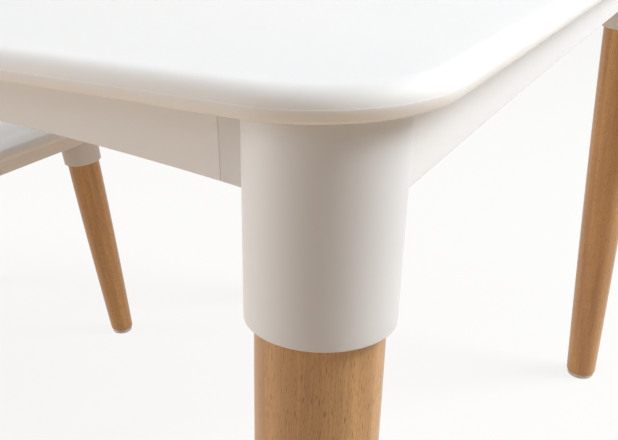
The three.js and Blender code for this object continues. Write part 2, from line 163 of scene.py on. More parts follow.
class ChairSizes(bpy.types.PropertyGroup):
    """The seat and the backrest."""

    corner_radius: length("Seat corner radius", "Plan radius of the seat's corners", 0.045)
    dish_inset: length("Dish inset", "From the seat's edge to its dish", 0.016)
    dish_reach: length("Dish reach", "Width of the dish's sloping border", 0.040)
    dish_depth: length("Dish depth", "Depth of the dish", 0.0055)
    dish_radius: length("Dish corner radius", "Plan radius of the dish's corners", 0.030)
    skirt_inset: length("Skirt inset", "From the seat's edge to its skirt", 0.016)
    skirt_wall: length("Skirt wall", "Thickness of the skirt and its ribs", 0.003)
    skirt_depth: length("Skirt depth", "How far the skirt hangs down", 0.018)
    rib_spacing: length("Rib spacing", "From the middle to the ribs under the seat", 0.052)
    rib_rise: length("Rib rise", "How far the ribs stop above the skirt's edge", 0.006)
    socket_inset: length("Socket inset", "From the seat's edges to a socket's axis", 0.034)
    back_inset: length("Backrest inset", "From the seat's rear edge to the backrest", 0.018)
    back_side_inset: length("Backrest side inset", "How much narrower the backrest is", 0.015)
    back_thickness: length("Backrest thickness", "Thickness of the backrest", 0.008)
    back_rise: length("Backrest rise", "From the seat's rim to the backrest's top", 0.240)
    back_gap: length("Backrest gap", "From the seat's rim to the backrest's panel", 0.078)
    back_corner: length("Backrest corner radius", "Radius of the panel's corners", 0.040)
    back_bend: length("Backrest bend", "Plan radius of the backrest's rear face", 0.420)
    back_round: length("Backrest rounding", "Radius of the backrest's edges", 0.0032)
    back_lean: angle("Backrest lean", "How far the backrest leans back", 9)
    tang_width: length("Tang width", "Width of the two tangs", 0.030)
    tang_fillet: length("Tang fillet", "Where the tangs run into the panel", 0.014)
    sleeve_wall: length("Sleeve wall", "Wall of the sleeves that take the tangs", 0.003)
    slot_width: length("Hand slot width", "Width of the hand slot", 0.092)
    slot_height: length("Hand slot height", "Height of the hand slot", 0.026)
    slot_drop: length("Hand slot drop", "From the panel's top to the hand slot", 0.024)


class LegSizes(bpy.types.PropertyGroup):
    """A turned leg with its socket and glide."""

    radius: length("Leg radius", "Radius of the leg in its socket", 0.020)
    foot_radius: length("Foot radius", "Radius of the leg at the floor", 0.01399)
    socket_wall: length("Socket wall", "Wall of the socket at its rim", 0.0028)
    socket_taper: length("Socket taper", "How much wider the socket is at its top", 0.00075)
    socket_drop: length("Socket drop", "Length of the socket along its axis", 0.0666)


class Finishes(bpy.types.PropertyGroup):
    """Colours of the mouldings and of the wood. The sockets are the aprons' white plastic, darkened with
    painted shade.
    """

    top: colour("Table top", "Moulded top", (0.84, 0.827, 0.807))
    apron: colour("Aprons", "Moulded aprons", (0.835, 0.83, 0.82))
    # Painted shade: the sockets are the same white plastic as the aprons, and this darker colour stands in
    # for the dimmer light on the cups.
    socket: colour("Sockets", "Moulded leg sockets", (0.755, 0.747, 0.737))
    chair: colour("Chairs", "Moulded seats and backrests", (0.86, 0.855, 0.845))
    beech_light: colour("Beech, light", "Early wood", (0.735, 0.42, 0.158))
    beech_deep: colour("Beech, deep", "Late wood", (0.385, 0.183, 0.068))
    beech_fleck: colour("Beech, fleck", "Ray flecks", (0.27, 0.13, 0.052))
    zinc: colour("Zinc", "Leg bolts", (0.62, 0.63, 0.65))
    glide: colour("Glides", "Glides under the legs", (0.70, 0.69, 0.66))


class StageSettings(bpy.types.PropertyGroup):
    """The camera, the floor and the light."""

    camera_offset: bpy.props.FloatVectorProperty(
        name="Camera offset",
        description="From the centre of the front left corner's rounding, at the lip's underside",
        default=(-0.1981, -0.1083, 0.0561),
        subtype="XYZ",
        unit="LENGTH",
    )
    camera_bearing: angle("Camera bearing", "Turn of the line of sight from +X towards +Y", 29.5)
    camera_pitch: angle("Camera pitch", "How far the camera looks down", 23.74)
    camera_roll: angle("Camera roll", "Turn of the camera about its line of sight", -0.53)
    camera_lens: bpy.props.FloatProperty(
        name="Lens", description="Focal length in millimetres", default=46.53, min=1
    )
    floor: colour("Floor", "Plain floor", (0.93, 0.925, 0.915))
    floor_bounce: colour("Floor bounce", "What the floor throws back on to the set", (0.67, 0.515, 0.38))
    key_power: factor("Key power", "Soft light from the right, in watts", 82.5, most=1000)
    fill_power: factor("Fill power", "Soft light from the left, in watts", 41.5, most=1000)


class KidsSetSettings(bpy.types.PropertyGroup):
    """Every size and colour of the set."""

    edge: bpy.props.PointerProperty(name="Moulded edge", type=EdgeSizes)
    table: bpy.props.PointerProperty(name="Table", type=TableSizes)
    chair: bpy.props.PointerProperty(name="Chairs", type=ChairSizes)
    table_leg: bpy.props.PointerProperty(name="Table legs", type=LegSizes)
    chair_leg: bpy.props.PointerProperty(name="Chair legs", type=LegSizes)
    finishes: bpy.props.PointerProperty(name="Finishes", type=Finishes)
    stage: bpy.props.PointerProperty(name="Stage", type=StageSettings)
    clearance: length("Clearance", "Gap between pieces that meet", 0.0003)
    crown: length("Socket crown", "Thickness of a socket's closed end", 0.008)
    bolt_radius: length("Bolt radius", "Radius of the leg bolts", 0.004)
    foot_height: length("Glide height", "Height of the glides", 0.004)
    foot_inset: length("Glide inset", "How much smaller a glide is than its leg", 0.001)
    taper_power: factor("Taper power", "How late the legs' taper sets in", 1.5, most=4)


# ---------------------------------------------------------------- surfaces


def strip(rings, closed=True):
    """Quads between each ring of points and the next; closed joins the ends of every ring."""
    count, points = rings.shape[:2]
    here = np.arange(points if closed else points - 1)
    beside = (here + 1) % points
    start = points * np.arange(count - 1)[:, None]
    faces = np.stack([start + here, start + beside, start + beside + points, start + here + points], -1)
    return rings.reshape(-1, 3), faces.reshape(-1, 4)


def inside(loop, points):
    """Which points lie inside a loop: a ray towards +X crosses the loop an odd number of times."""
    a = loop[None]
    b = np.roll(loop, -1, axis=0)[None]
    x, y = points[:, None, 0], points[:, None, 1]
    straddles = (a[..., 1] > y) != (b[..., 1] > y)
    rise = np.where(straddles, b[..., 1] - a[..., 1], 1)
    crossing = a[..., 0] + (y - a[..., 1]) * (b[..., 0] - a[..., 0]) / rise
    return (straddles & (x < crossing)).sum(1) % 2 == 1


def within(loops, points):
    """Which points lie inside the first loop and outside all the others."""
    kept = inside(loops[0], points)
    for hole in loops[1:]:
        kept &= ~inside(hole, points)
    return kept


def lattice(loops, spacing):
    """Points on a square lattice inside the region, at least 0.6 spacings from its loops' points."""
    low, high = loops[0].min(0), loops[0].max(0)
    steps = [np.arange(a + spacing / 2, b, spacing) for a, b in zip(low, high)]
    points = np.stack(np.meshgrid(*steps), -1).reshape(-1, 2)
    points = points[within(loops, points)]
    edge = np.concatenate(loops)
    nearest = np.sqrt(((points[:, None] - edge[None]) ** 2).sum(-1)).min(1)
    return points[nearest > 0.6 * spacing]


def fill(loops, place, spacing=None):
    """Triangles over the region inside the first loop and outside the others.

    The plan is a constrained Delaunay triangulation, and place(plan) lifts its points into space.
    """
    starts = np.cumsum([0] + [len(loop) for loop in loops])
    edges = [
        np.stack([start + np.arange(len(loop)), start + (np.arange(len(loop)) + 1) % len(loop)], -1)
        for start, loop in zip(starts, loops)
    ]
    points = np.concatenate(loops)
    if spacing:
        points = np.concatenate([points, lattice(loops, spacing)])
    plan, _, triangles, *_ = geometry.delaunay_2d_cdt(
        [Vector(point) for point in points], np.concatenate(edges).tolist(), [], 0, 1e-8
    )
    plan = np.array(plan)
    triangles = np.array(triangles)
    triangles = triangles[within(loops, plan[triangles].mean(1))]
    return place(plan), triangles


def at_height(height):
    """A placement that puts a plan at one height."""
    return lambda plan: np.column_stack([plan, np.full(len(plan), height)])


def rounded_rectangle(size_x, size_y, radius, per_corner=16, per_side=12):
    """A rectangle with arcs for corners, anticlockwise, with per_corner steps to an arc."""
    turn = np.linspace(0, math.pi / 2, per_corner + 1)
    arc = radius * np.stack([np.cos(turn), np.sin(turn)], -1)
    middle = np.array([size_x / 2 - radius, size_y / 2 - radius])
    corners = []
    for quarter, (sx, sy) in enumerate(((1, 1), (-1, 1), (-1, -1), (1, -1))):
        cosine, sine = round(math.cos(quarter * math.pi / 2)), round(math.sin(quarter * math.pi / 2))
        corners.append(arc @ np.array([[cosine, sine], [-sine, cosine]]) + middle * (sx, sy))
    share = (np.arange(1, per_side) / per_side)[:, None]
    runs = []
    for corner, following in zip(corners, corners[1:] + corners[:1]):
        runs += [corner, corner[-1] * (1 - share) + following[0] * share]
    return np.concatenate(runs)


def arc_profile(centre, radii, start, end, steps):
    """Points on an ellipse's arc between two angles in degrees."""
    turn = np.radians(np.linspace(start, end, steps + 1))
    return np.stack([centre[0] + radii[0] * np.cos(turn), centre[1] + radii[1] * np.sin(turn)], -1)


def turned(profile, origin, basis, sides=72):
    """Rings of a turned surface: origin + radius (cos a, sin a) across + height along the axis."""
    turn = np.linspace(0, 2 * math.pi, sides, endpoint=False)
    across = np.cos(turn)[:, None] * basis[0] + np.sin(turn)[:, None] * basis[1]
    profile = np.asarray(profile)
    return origin + profile[:, 0, None, None] * across + profile[:, 1, None, None] * basis[2]


def cut_level(ring, other, height):
    """Where the straight lines between the points of two rings reach a height."""
    share = (height - ring[:, 2]) / (other[:, 2] - ring[:, 2])
    return ring + share[:, None] * (other - ring)


def between(ring, other, steps):
    """Rings shared out evenly between two rings, both ends included."""
    share = np.linspace(0, 1, steps + 1)[:, None, None]
    return ring * (1 - share) + other * share


def turned_about(points, turn, distance):
    """Points built along X facing +Y, moved out by a distance and turned about Z."""
    x, y, z = points[..., 0], points[..., 1] + distance, points[..., 2]
    cosine, sine = math.cos(turn), math.sin(turn)
    return np.stack([x * cosine - y * sine, x * sine + y * cosine, z], -1)


def turned_shells(shells, turn, distance, shift=(0, 0, 0)):
    """Shells built along X facing +Y, moved out, turned about Z and then shifted."""
    return [(turned_about(points, turn, distance) + shift, faces) for points, faces in shells]


def turn_matrix(turn):
    """The matrix that turns a column of coordinates about Z."""
    cosine, sine = math.cos(turn), math.sin(turn)
    return np.array([[cosine, -sine, 0], [sine, cosine, 0], [0, 0, 1]])


def mesh_from(name, shells):
    """One mesh of closed shells: doubles merged, faces outwards, smooth but for its sharp edges."""
    starts = np.cumsum([0] + [len(points) for points, _ in shells])
    points = np.concatenate([points for points, _ in shells])
    faces = [face for start, (_, shell) in zip(starts, shells) for face in (shell + start).tolist()]
    mesh = bpy.data.meshes.new(name)
    mesh.from_pydata(points.tolist(), [], faces)
    sewn = bmesh.new()
    sewn.from_mesh(mesh)
    bmesh.ops.remove_doubles(sewn, verts=sewn.verts, dist=MERGE_DISTANCE)
    bmesh.ops.dissolve_degenerate(sewn, edges=sewn.edges, dist=MERGE_DISTANCE)
    bmesh.ops.recalc_face_normals(sewn, faces=sewn.faces)
    sewn.to_mesh(mesh)
    sewn.free()
    mesh.shade_smooth()
    mesh.set_sharp_from_angle(angle=CREASE_ANGLE)
    mesh.update()
    return mesh


def add_piece(node, shells, material):
    """A detailed piece that stands for a CAD node, on the node's body and in its material slot."""
    name = f"detailed_{node}"
    piece = bpy.data.objects.new(name, mesh_from(name, shells))
    bpy.context.scene.collection.objects.link(piece)
    piece.data.materials.append(material)
    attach(piece, frame["nodes"][node]["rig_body"])
    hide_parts(node)
    return piece


# ---------------------------------------------------------------- places from the frame


def settings():
    """The set's sizes and colours."""
    return bpy.context.scene.kids_set


def middle(node):
    """The middle of a CAD node's box, in plan."""
    low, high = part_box(node)
    return np.array([(low.x + high.x) / 2, (low.y + high.y) / 2])


class Plate:
    """The table top or a seat: its middle and half its size in plan, and its lip's two heights."""

    def __init__(self, group):
        node = "table_top" if group == "table" else f"{group}_seat"
        low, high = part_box(node)
        self.centre = middle(node)
        self.half = np.array([high.x - low.x, high.y - low.y]) / 2
        self.base = high.z - settings().edge.height
        self.rim = self.base + settings().edge.height


def leg_axis(group, corner):
    """A leg's origin under the plate, and its basis: two directions across and one up the axis."""
    plate = Plate(group)
    sizes = settings()
    foot_node = f"{group}_foot_{corner}"
    foot = middle(foot_node)
    if group == "table":
        inset = np.array([sizes.table.inset_x, sizes.table.inset_y])
    else:
        inset = np.array([sizes.chair.socket_inset] * 2)
    top = plate.centre + np.sign(foot - plate.centre) * (plate.half - inset)
    origin = np.array([*top, plate.base])
    up = origin - np.array([*foot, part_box(foot_node)[1].z])
    up /= np.linalg.norm(up)
    across = np.array([1.0, 0, 0]) - up[0] * up
    across /= np.linalg.norm(across)
    return origin, np.array([across, np.cross(up, across), up])


def leg_sizes(group):
    """The sizes of a group's legs."""
    return settings().table_leg if group == "table" else settings().chair_leg


def socket_radii(group):
    """A socket's bore radius, and its outer radii at its rim and at its top."""
    sizes = leg_sizes(group)
    bore = sizes.radius + settings().clearance
    rim = bore + sizes.socket_wall
    return bore, rim, rim + sizes.socket_taper


# ---------------------------------------------------------------- materials


def new_group(name, inputs, outputs):
    """An empty shader node group with named sockets, given as (name, socket kind, default)."""
    tree = bpy.data.node_groups.new(name, "ShaderNodeTree")
    for title, kind, default in inputs:
        socket = tree.interface.new_socket(title, in_out="INPUT", socket_type=kind)
        if default is not None:
            socket.default_value = default
    for title, kind in outputs:
        tree.interface.new_socket(title, in_out="OUTPUT", socket_type=kind)
    return tree, tree.nodes.new("NodeGroupInput"), tree.nodes.new("NodeGroupOutput")


def feed(tree, node, inputs):
    """Links each input that is given a socket, and sets each that is given a value."""
    for key, source in inputs.items():
        if isinstance(source, bpy.types.NodeSocket):
            tree.links.new(source, node.inputs[key])
        else:
            node.inputs[key].default_value = source


def put(tree, kind, inputs, **options):
    """A node with its options set and its inputs fed."""
    node = tree.nodes.new(kind)
    for key, value in options.items():
        setattr(node, key, value)
    feed(tree, node, inputs)
    return node


def math_node(tree, operation, *sources):
    """The output of a Math node on one or two sockets or numbers."""
    node = put(tree, "ShaderNodeMath", dict(enumerate(sources)), operation=operation)
    return node.outputs[0]


def stretched(tree, vector, scale):
    """A vector scaled along its three axes."""
    node = put(tree, "ShaderNodeVectorMath", {0: vector, 1: scale}, operation="MULTIPLY")
    return node.outputs[0]


def noise(tree, vector, scale, detail=2.0, roughness=0.5, distortion=0.0):
    """A Noise texture's value, from nought to one."""
    inputs = {"Vector": vector, "Scale": scale, "Detail": detail}
    inputs |= {"Roughness": roughness, "Distortion": distortion}
    return put(tree, "ShaderNodeTexNoise", inputs).outputs[0]


def spread_out(tree, source, low, high, new_low=0.0, new_high=1.0):
    """A value mapped from one range to another and kept inside it."""
    inputs = {"Value": source, "From Min": low, "From Max": high, "To Min": new_low, "To Max": new_high}
    return put(tree, "ShaderNodeMapRange", inputs).outputs[0]


def blend_colours(tree, share, first, second, mode="MIX"):
    """Two colours mixed by a share; each is a socket or a plain colour."""
    inputs = {0: share}
    for index, source in ((6, first), (7, second)):
        inputs[index] = source if isinstance(source, bpy.types.NodeSocket) else (*source, 1)
    return put(tree, "ShaderNodeMix", inputs, data_type="RGBA", blend_type=mode).outputs[2]


def bumped(tree, height, strength, distance):
    """The normal of a Bump node."""
    inputs = {"Height": height, "Strength": strength, "Distance": distance}
    return put(tree, "ShaderNodeBump", inputs).outputs[0]


def moulded_skin_group():
    """The skin of a moulding: slow waviness, the mould's fine texture and faint tone.

    Height = 1.6 wave + Texture x texture, each a noise; Tone is a broad noise and Matt a fine one.
    """
    if "moulded_skin" in bpy.data.node_groups:
        return bpy.data.node_groups["moulded_skin"]
    inputs = [("Vector", "NodeSocketVector", None), ("Texture", "NodeSocketFloat", 0.35)]
    outputs = [("Height", "NodeSocketFloat"), ("Tone", "NodeSocketFloat"), ("Matt", "NodeSocketFloat")]
    tree, given, result = new_group("moulded_skin", inputs, outputs)
    wave = noise(tree, given.outputs["Vector"], 38, detail=1.0)
    texture = noise(tree, given.outputs["Vector"], 1500, detail=1.5, roughness=0.6)
    texture = math_node(tree, "MULTIPLY", texture, given.outputs["Texture"])
    height = math_node(tree, "ADD", math_node(tree, "MULTIPLY", wave, 1.6), texture)
    tone = noise(tree, given.outputs["Vector"], 7, detail=3.0, roughness=0.6)
    matt = noise(tree, given.outputs["Vector"], 210, detail=4.0, roughness=0.65)
    feed(tree, result, {"Height": height, "Tone": tone, "Matt": matt})
    return tree


def handling_wear_group():
    """Signs of use: hairline scratches in two directions and soft rubbed patches.

    A scratch is where a stretched noise comes close to one half; Rubbed is a broad noise cut off low.
    """
    if "handling_wear" in bpy.data.node_groups:
        return bpy.data.node_groups["handling_wear"]
    inputs = [("Vector", "NodeSocketVector", None), ("Amount", "NodeSocketFloat", 0.5)]
    outputs = [("Scratch", "NodeSocketFloat"), ("Rubbed", "NodeSocketFloat")]
    tree, given, result = new_group("handling_wear", inputs, outputs)
    scratches = []
    for stretch in ((4, 160, 160), (120, 7, 120)):
        place = stretched(tree, given.outputs["Vector"], stretch)
        band = noise(tree, place, 1, detail=2, distortion=0.4)
        away = math_node(tree, "ABSOLUTE", math_node(tree, "SUBTRACT", band, 0.5))
        line = spread_out(tree, away, 0.0, 0.006, 1.0, 0.0)
        patch = spread_out(tree, noise(tree, given.outputs["Vector"], 23, detail=1), 0.52, 0.7)
        scratches.append(math_node(tree, "MULTIPLY", line, patch))
    scratch = math_node(tree, "MAXIMUM", *scratches)
    rubbed = spread_out(tree, noise(tree, given.outputs["Vector"], 11, detail=4), 0.45, 0.75)
    for title, source in (("Scratch", scratch), ("Rubbed", rubbed)):
        amount = math_node(tree, "MULTIPLY", source, given.outputs["Amount"])
        tree.links.new(amount, result.inputs[title])
    return tree


def beech_grain_group():
    """Turned beech, with the grain along the place's third axis.

    Rings are a noise stretched along the grain and fibres a finer one. Flecks come in three sizes,
    each from a Voronoi texture stretched along the grain and kept close to its cells' centres.
    """
    inputs = [
        ("Place", "NodeSocketVector", None),
        ("Light", "NodeSocketColor", None),
        ("Deep", "NodeSocketColor", None),
        ("Fleck", "NodeSocketColor", None),
    ]
    outputs = [
        ("Color", "NodeSocketColor"),
        ("Roughness", "NodeSocketFloat"),
        ("Height", "NodeSocketFloat"),
    ]
    tree, given, result = new_group("beech_grain", inputs, outputs)
    place = given.outputs["Place"]
    rings = stretched(tree, place, (190, 85, 5))
    rings = noise(tree, rings, 1, detail=4, roughness=0.55, distortion=0.3)
    rings = math_node(tree, "MULTIPLY", spread_out(tree, rings, 0.3, 0.72), 0.55)
    broad = noise(tree, stretched(tree, place, (45, 30, 2.5)), 1, detail=2)
    broad = math_node(tree, "MULTIPLY", spread_out(tree, broad, 0.3, 0.7), 0.45)
    share = math_node(tree, "ADD", rings, broad)
    wood = blend_colours(tree, share, given.outputs["Light"], given.outputs["Deep"])
    fibres = noise(tree, stretched(tree, place, (2300, 2300, 55)), 1, detail=3, roughness=0.65)
    shade = spread_out(tree, fibres, 0.28, 0.72, 0.84, 1.14)
    grey = put(tree, "ShaderNodeCombineColor", dict.fromkeys(range(3), shade)).outputs[0]
    wood = blend_colours(tree, 1.0, wood, grey, mode="MULTIPLY")
    swayed = noise(tree, stretched(tree, place, (60, 60, 60)), 1, detail=1)
    sway = put(tree, "ShaderNodeCombineXYZ", {0: swayed, 1: swayed}).outputs[0]
    fleck = None
    for across, along, reach, strength in (
        (1150, 140, 0.22, 0.95),
        (1700, 200, 0.24, 0.7),
        (2600, 330, 0.30, 0.4),
    ):
        centre = stretched(tree, place, (across, across, along))
        centre = put(tree, "ShaderNodeVectorMath", {0: centre, 1: sway}, operation="ADD")
        cells = put(tree, "ShaderNodeTexVoronoi", {"Vector": centre.outputs[0], "Scale": 1.0})
        near = spread_out(tree, cells.outputs["Distance"], reach * 0.55, reach, strength, 0.0)
        fleck = math_node(tree, "MAXIMUM", fleck, near) if fleck else near
    wood = blend_colours(tree, fleck, wood, given.outputs["Fleck"])
    rough = spread_out(tree, fibres, 0.2, 0.8, 0.30, 0.44)
    height = math_node(tree, "SUBTRACT", fibres, math_node(tree, "MULTIPLY", fleck, 0.8))
    feed(tree, result, {"Color": wood, "Roughness": rough, "Height": height})
    return tree


def new_material(name):
    """A material with an emptied tree, its Principled BSDF linked to its output."""
    material = bpy.data.materials.new(name)
    material.use_nodes = True
    tree = material.node_tree
    tree.nodes.clear()
    surface = tree.nodes.new("ShaderNodeBsdfPrincipled")
    put(tree, "ShaderNodeOutputMaterial", {"Surface": surface.outputs[0]})
    return material, tree, surface


def object_place(tree):
    """Object coordinates."""
    return tree.nodes.new("ShaderNodeTexCoord").outputs["Object"]


def plastic(name, tint, matt=(0.42, 0.52), texture=0.35, wear=0.3, sheen_depth=0.02, depth=0.06):
    """Satin moulded plastic: a nearly even colour under a soft gloss, with its mould's fine texture."""
    material, tree, surface = new_material(name)
    place = object_place(tree)
    inputs = {"Vector": place, "Texture": texture}
    skin = put(tree, "ShaderNodeGroup", inputs, node_tree=moulded_skin_group())
    inputs = {"Vector": place, "Amount": wear}
    used = put(tree, "ShaderNodeGroup", inputs, node_tree=handling_wear_group())
    dull = [channel * (1 - sheen_depth) for channel in tint]
    tone = spread_out(tree, skin.outputs["Tone"], 0.35, 0.65)
    base = blend_colours(tree, tone, dull, tuple(tint))
    grime = math_node(tree, "MULTIPLY", used.outputs["Scratch"], 0.10)
    base = blend_colours(tree, grime, base, [channel * 0.72 for channel in tint])
    rough = spread_out(tree, skin.outputs["Matt"], 0.3, 0.7, *matt)
    rough = math_node(tree, "ADD", rough, math_node(tree, "MULTIPLY", used.outputs["Scratch"], 0.14))
    polish = math_node(tree, "MULTIPLY", used.outputs["Rubbed"], 0.06)
    rough = math_node(tree, "SUBTRACT", rough, polish)
    height = math_node(tree, "SUBTRACT", skin.outputs["Height"], used.outputs["Scratch"])
    finish = {
        "Base Color": base,
        "Roughness": rough,
        "Normal": bumped(tree, height, strength=0.12, distance=0.00006),
        "IOR": 1.49,
        "Subsurface Weight": depth,
        "Subsurface Radius": (1.0, 0.92, 0.82),
        "Subsurface Scale": 0.006,
    }
    feed(tree, surface, finish)
    return material


def beech(name, finishes):
    """Turned beech under a clear matt lacquer; the grain follows each leg's own axis."""
    material, tree, surface = new_material(name)
    inputs = {
        "Place": put(tree, "ShaderNodeAttribute", {}, attribute_name="grain_place").outputs["Vector"],
        "Light": (*finishes.beech_light, 1),
        "Deep": (*finishes.beech_deep, 1),
        "Fleck": (*finishes.beech_fleck, 1),
    }
    grain = put(tree, "ShaderNodeGroup", inputs, node_tree=beech_grain_group()).outputs
    finish = {
        "Base Color": grain["Color"],
        "Roughness": grain["Roughness"],
        "Normal": bumped(tree, grain["Height"], strength=0.35, distance=0.0001),
        "IOR": 1.45,
        "Coat Weight": 0.25,
        "Coat Roughness": 0.32,
    }
    feed(tree, surface, finish)
    return material


def zinc(name, tint):
    """Zinc-plated steel: bright metal with faint turning lines and cloudy passivation."""
    material, tree, surface = new_material(name)
    place = object_place(tree)
    lines = noise(tree, stretched(tree, place, (90, 90, 2600)), 1, detail=2)
    cloud = noise(tree, place, 160, detail=3)
    dull = [channel * 0.82 for channel in tint]
    finish = {
        "Base Color": blend_colours(tree, spread_out(tree, cloud, 0.3, 0.7), dull, tuple(tint)),
        "Roughness": spread_out(tree, lines, 0.3, 0.7, 0.24, 0.42),
        "Normal": bumped(tree, lines, strength=0.2, distance=0.00005),
        "Metallic": 1,
    }
    feed(tree, surface, finish)
    return material


def shared_material(name, make, *arguments, **options):
    """A material made when it is first asked for, under a name that the frame doesn't use."""
    return bpy.data.materials.get(name) or make(name, *arguments, **options)


# ---------------------------------------------------------------- the moulded edge


def edge_profile(sizes, base):
    """The shared edge from its underside to its top face, as (inset, height) pairs.

    A quarter circle rounds the lower edge. The band above it lies undercut (1 - s)^2 inwards and ends
    in a small parting ledge. From there part of an ellipse, round_reach wide, runs up to the top face.
    A flat border closes each end.
    """
    foot = sizes.foot_round
    under = sizes.undercut
    top = base + sizes.height
    start = base + sizes.band_height
    ledge = sizes.ledge
    reach = sizes.round_reach - ledge
    lower = arc_profile((under + foot, base + foot), (foot, foot), 270, 180, 6)
    share = np.linspace(0, 1, 8)[1:-1]
    band = np.stack([under * (1 - share) ** 2, base + foot + (start - ledge - base - foot) * share], -1)
    lip_round = 0.6 * ledge
    lip = arc_profile((lip_round, start - lip_round), (lip_round,) * 2, 180, 90, 4)
    tilt = sizes.crease_tilt
    across, up = reach / math.cos(tilt), (top - start) / (1 - math.sin(tilt))
    upper = arc_profile((ledge + reach, top - up), (across, up), 180 - math.degrees(tilt), 90, 20)
    border = [(under + foot + flat, base) for flat in (0.0025, FLAT_BORDER)]
    inner = [(sizes.round_reach + flat, top) for flat in (0.0005, 0.004)]
    return np.concatenate([border, lower, band, lip, upper, inner])


def edge_rings(sizes, plate, radius):
    """The shared edge carried round a plate's plan: one ring of points for each profile point."""
    rings = []
    for inset, height in edge_profile(sizes, plate.base):
        outline = rounded_rectangle(*(2 * plate.half - 2 * inset), radius - inset, 24, 24)
        rings.append(at_height(height)(outline))
    return np.array(rings)


# ---------------------------------------------------------------- walls: aprons, skirts, ribs and wings


def wall_pairs(thickness, rounding, flange=0.0):
    """Facing points across a wall, as (y, share of the height, lift) for its outer and inner sides.

    Two quarter circles round the lower edge, the sides run straight up, and a flange turns inwards.
    """
    turn = np.radians(np.linspace(0, 90, 6))
    pull = rounding * (1 - np.sin(turn))
    lift = rounding * (1 - np.cos(turn))
    zero = np.zeros_like(turn)
    outer = np.stack([-pull, zero, lift], -1)
    inner = np.stack([pull - thickness, zero, lift], -1)
    shares = np.array([0.3, 0.6, 0.85])
    none = np.zeros_like(shares)
    outer = np.concatenate([outer, np.stack([none, shares, none], -1)])
    inner = np.concatenate([inner, np.stack([none - thickness, shares, none], -1)])
    if not flange:
        return np.append(outer, [[0, 1, 0]], 0), np.append(inner, [[-thickness, 1, 0]], 0)
    root = thickness + 0.001
    along = np.linspace(root, flange, 8)
    run = np.ones_like(along)
    outer = np.concatenate([outer, [[0, 1, 0]], np.stack([-along, run, 0 * run], -1)])
    under = np.stack([-along, run, -thickness * run], -1)
    inner = np.concatenate([inner, [[-thickness, 1, -thickness]], under])
    return outer, inner


def wall(pairs, lower, upper, start, end, stations=49):
    """A closed shell: the section between the pairs, carried along X.

    lower(x) is the lower edge's height and upper the top's. start(y, z) and end(y, z) say where each
    line along the wall begins and ends, so that a wall can stop against a round socket.
    """
    section = np.concatenate([pairs[0], pairs[1][::-1]])
    y, share, lift = section.T
    limits = []
    for limit in (start, end):
        x = limit(y, upper - 0.5 * (upper - lower(0)) * (1 - share))
        for _ in range(3):
            x = limit(y, lower(x) * (1 - share) + upper * share + lift)
        limits.append(x)
    along = np.linspace(0, 1, stations)[:, None]
    x = limits[0] * (1 - along) + limits[1] * along
    z = lower(x) * (1 - share) + upper * share + lift
    grid = np.stack([x, np.broadcast_to(y, x.shape), z], -1)
    half = len(pairs[0])
    ends = [np.stack([ring[:half], ring[half:][::-1]]) for ring in (grid[0], grid[-1])]
    return [strip(grid), *(strip(end, closed=False) for end in ends)]


def beside_socket(group, axis, side, gap):
    """Where a line along X meets a socket: the nearer root of |q|^2 - (q.up)^2 = (radius + gap)^2."""
    origin, up = axis
    _, rim, top = socket_radii(group)
    taper = (top - rim) / leg_sizes(group).socket_drop

    def limit(y, z):
        down = (origin[2] - z) / up[2]
        radius = top - taper * down + gap
        y = y - origin[1]
        z = z - origin[2]
        known = y * up[1] + z * up[2]
        a = 1 - up[0] ** 2
        b = -2 * up[0] * known
        c = y**2 + z**2 - known**2 - radius**2
        root = np.sqrt(np.maximum(b**2 - 4 * a * c, 0))
        return origin[0] + (-b - side * root) / (2 * a)

    return limit


def at(place):
    """A limit that is the same everywhere."""
    return lambda y, z: np.full_like(np.asarray(y, float), place)


def turned_axis(group, corner, turn, distance, centre):
    """A leg's axis in the frame of a wall that was built along X, and moved out and turned."""
    origin, basis = leg_axis(group, corner)
    origin = origin - np.array([*centre, 0])
    back = turn_matrix(-turn)
    return back @ origin - np.array([0, distance, 0]), back @ basis[2]


def socket_limits(group, turn, distance, gap):
    """Where a wall starts and ends between the two sockets that it runs between."""
    centre = Plate(group).centre
    axes = [turned_axis(group, corner, turn, distance, centre) for corner in CORNERS]
    near = sorted(axes, key=lambda axis: -axis[0][1])[:2]
    first, last = sorted(near, key=lambda axis: axis[0][0])
    return beside_socket(group, first, -1, gap), beside_socket(group, last, 1, gap)


def arch(base, slope, half_span):
    """The aprons' lower edge: base - depth + rise (1 - (x / span)^2), a shallow parabola."""
    depth = settings().table.apron_depth
    rise = slope * half_span / 2
    return lambda x: base - depth + rise * (1 - (x / half_span) ** 2)


# ---------------------------------------------------------------- operators


class PieceOperator:
    """What the set's operators share."""

    bl_options = {"REGISTER", "UNDO"}

    def execute(self, context):
        self.build(context.scene.kids_set)
        return {"FINISHED"}


